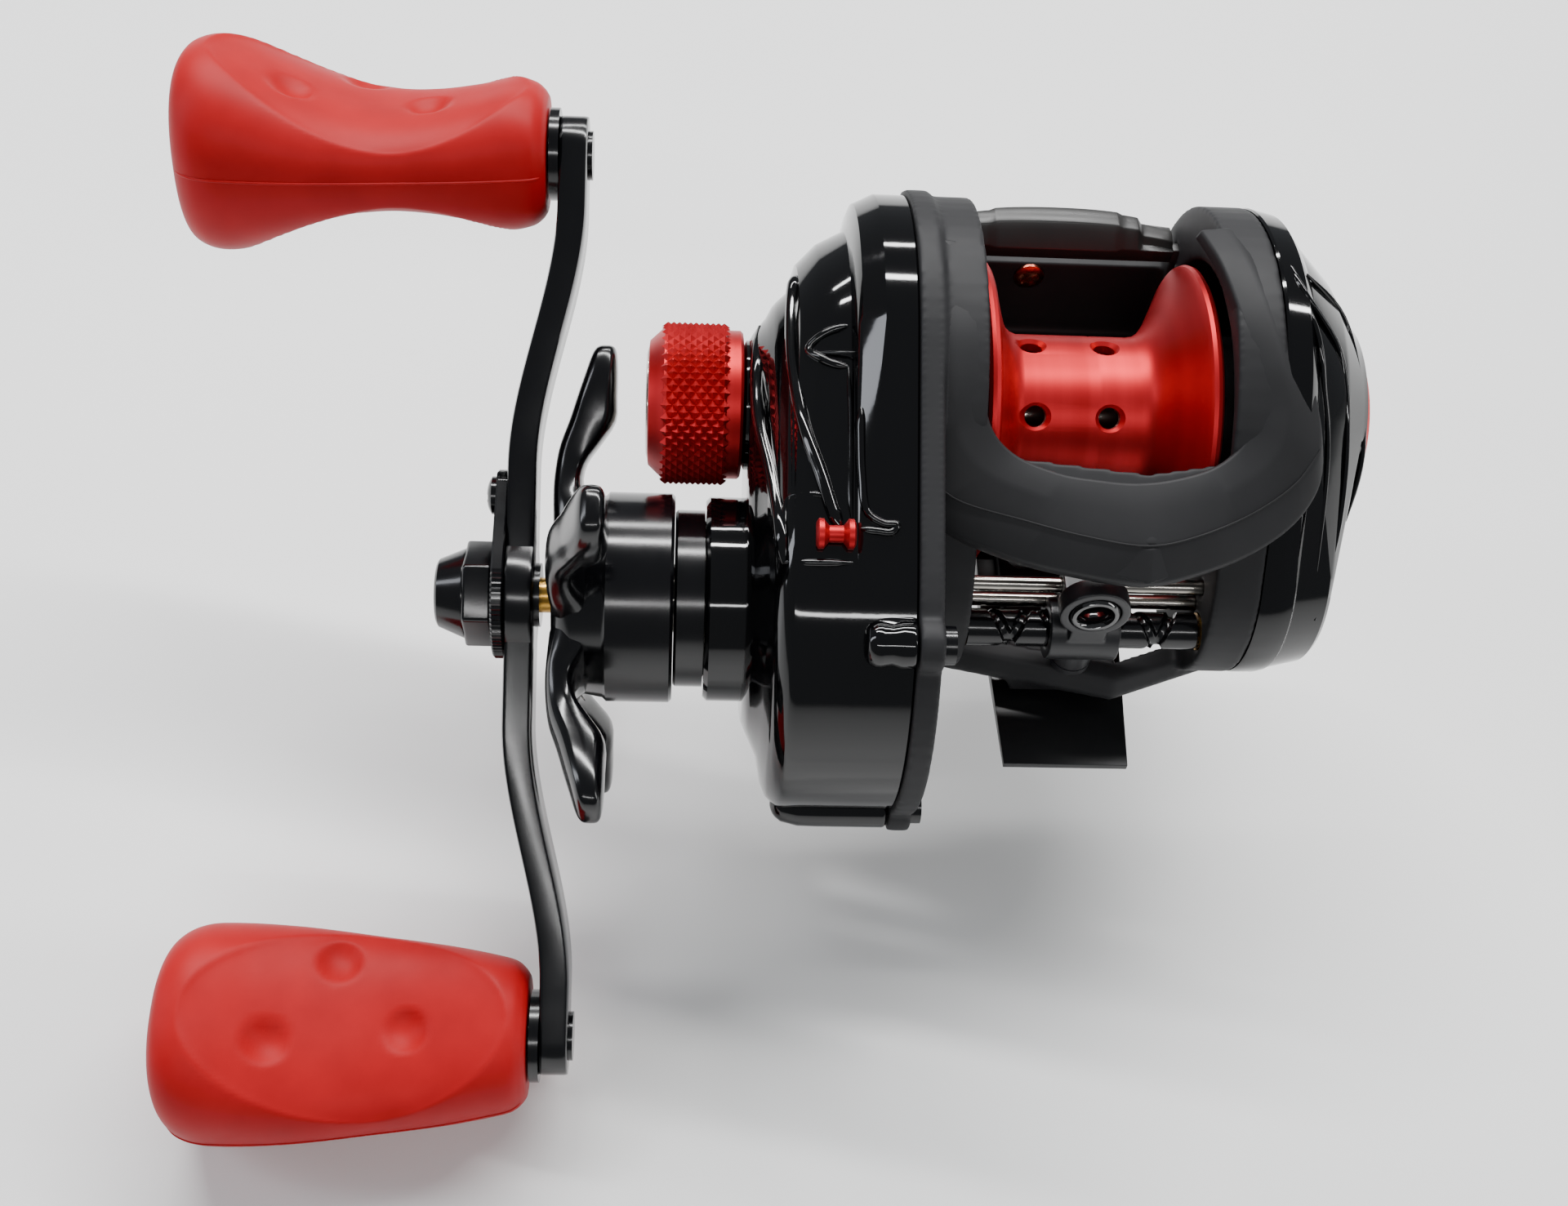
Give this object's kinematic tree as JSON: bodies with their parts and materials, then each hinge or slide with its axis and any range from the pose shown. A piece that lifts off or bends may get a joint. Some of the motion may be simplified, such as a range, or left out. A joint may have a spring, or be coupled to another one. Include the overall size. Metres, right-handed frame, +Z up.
{
  "type": "baitcasting reel",
  "caption": "Low-profile baitcasting reel with a double-paddle crank, star drag, level wind, knurled cast control, thumb bar and turned spool on a rod foot.",
  "frame": {"origin": "on the foot's bottom face, straight below the spool axis and midway between the spool flanges", "axes": "+Z up from the foot, +X along the spool axis towards the palm side, -Y towards the line guide at the front"},
  "size_m": [0.1261, 0.1009, 0.0776],
  "materials": {
    "matte_black": "soft-touch matte",
    "gloss_black": "high gloss",
    "gloss_black_metal": "high gloss",
    "red_anodised": "satin anodised",
    "red_rubber": "matte",
    "steel": "machined",
    "brass": "machined",
    "carbon": "woven fibre",
    "white_plastic": "moulded",
    "dark_plastic": "moulded",
    "silver_aluminium": "turned",
    "ceramic_black": "polished"
  },
  "bodies": {
    "reel_body": {"frame": "matte_black", "front_lip": "matte_black", "reel_foot": "matte_black", "foot_rivets": "steel", "gear_side_cover": "gloss_black", "cover_screws": "steel", "keeper_pin": "red_anodised", "clutch_ring": "gloss_black_metal", "roller_clutch": "steel", "main_bearing": "steel", "pinion_bearing": "steel", "spool_bearing_left": "steel", "spool_bearing_right": "steel", "palm_side_plate": "gloss_black", "palm_plate_screws": "steel", "worm_bushes": "brass", "guide_rods": "steel", "rear_wall_screw": "brass", "yoke_posts": "steel"},
    "spool_body": {"spool": "red_anodised", "spool_shaft": "steel", "spool_pin": "steel", "brake_rotor": "silver_aluminium"},
    "pinion_body": {"pinion": "brass"},
    "yoke_body": {"clutch_yoke": "steel"},
    "bar_body": {"thumb_bar": "matte_black", "clutch_cam_plate": "steel"},
    "worm_body": {"worm_shaft": "gloss_black_metal", "worm_gear": "white_plastic"},
    "carriage": {"line_guide": "dark_plastic", "line_guide_ring": "ceramic_black", "worm_pawl": "steel", "pawl_cap": "brass"},
    "cast_knob_body": {"cast_control_knob": "red_anodised", "cast_control_disc": "steel", "tension_washer": "brass"},
    "dial_body": {"brake_dial": "red_anodised"},
    "magnet_body": {"magnet_carrier": "dark_plastic", "brake_magnets": "steel"},
    "handle_body": {"main_shaft": "brass", "idler_gear": "white_plastic", "ratchet_wheel": "steel", "drive_gear": "brass", "drag_washers": "carbon", "drag_plate": "steel", "pressure_plate": "steel", "clutch_sleeve": "steel", "drag_springs": "steel", "shaft_spacer": "gloss_black_metal", "handle_arm": "gloss_black_metal", "handle_nut": "gloss_black_metal", "nut_retainer": "gloss_black_metal", "retainer_screw": "gloss_black_metal", "knob_posts": "steel", "knob_washers": "gloss_black_metal"},
    "star_body": {"star_drag": "gloss_black_metal", "star_nut": "brass", "star_click_spring": "steel"},
    "upper_knob_body": {"upper_knob": "red_rubber"},
    "lower_knob_body": {"lower_knob": "red_rubber"}
  },
  "joints": [
    {"name": "handle_spin", "type": "hinge", "parent": "reel_body", "child": "handle_body", "pos_m": [0, -0.01725, 0.00992], "axis": [1, 0, 0], "continuous": true},
    {"name": "spool_spin", "type": "hinge", "parent": "reel_body", "child": "spool_body", "pos_m": [0, 0, 0.022], "axis": [1, 0, 0], "continuous": true},
    {"name": "yoke_slide", "type": "slide", "parent": "reel_body", "child": "yoke_body", "axis": [-1, 0, 0], "range_m": [0, 0.0012]},
    {"name": "pinion_spin", "type": "hinge", "parent": "yoke_body", "child": "pinion_body", "pos_m": [0, 0, 0.022], "axis": [1, 0, 0], "continuous": true},
    {"name": "bar_press", "type": "slide", "parent": "reel_body", "child": "bar_body", "axis": [0, 0, -1], "range_m": [0, 0.003]},
    {"name": "worm_spin", "type": "hinge", "parent": "reel_body", "child": "worm_body", "pos_m": [0, -0.02256, 0.0135], "axis": [1, 0, 0], "continuous": true},
    {"name": "carriage_slide", "type": "slide", "parent": "reel_body", "child": "carriage", "axis": [1, 0, 0], "range_m": [-0.0083, 0.0083]},
    {"name": "cast_knob_turn", "type": "hinge", "parent": "reel_body", "child": "cast_knob_body", "pos_m": [0, 0, 0.022], "axis": [1, 0, 0], "range_deg": [-90, 360]},
    {"name": "dial_turn", "type": "hinge", "parent": "reel_body", "child": "dial_body", "pos_m": [0, 0, 0.022], "axis": [1, 0, 0], "range_deg": [0, 270]},
    {"name": "magnet_slide", "type": "slide", "parent": "reel_body", "child": "magnet_body", "axis": [-1, 0, 0], "range_m": [0, 0.003]},
    {"name": "star_turn", "type": "hinge", "parent": "handle_body", "child": "star_body", "pos_m": [0, -0.01725, 0.00992], "axis": [1, 0, 0], "range_deg": [-180, 180]},
    {"name": "upper_knob_spin", "type": "hinge", "parent": "handle_body", "child": "upper_knob_body", "pos_m": [0, 0.02166, 0.03716], "axis": [1, 0, 0], "continuous": true},
    {"name": "lower_knob_spin", "type": "hinge", "parent": "handle_body", "child": "lower_knob_body", "pos_m": [0, -0.05616, -0.01732], "axis": [1, 0, 0], "continuous": true}
  ],
  "couplings": [
    {"joint": "spool_spin", "follows": "handle_spin", "ratio": -6.3636},
    {"joint": "pinion_spin", "follows": "handle_spin", "ratio": -6.3636},
    {"joint": "worm_spin", "follows": "handle_spin", "ratio": -1.2857},
    {"joint": "yoke_slide", "follows": "bar_press", "ratio": 0.4},
    {"joint": "magnet_slide", "follows": "dial_turn", "m_per_rad": 0.00063}
  ]
}
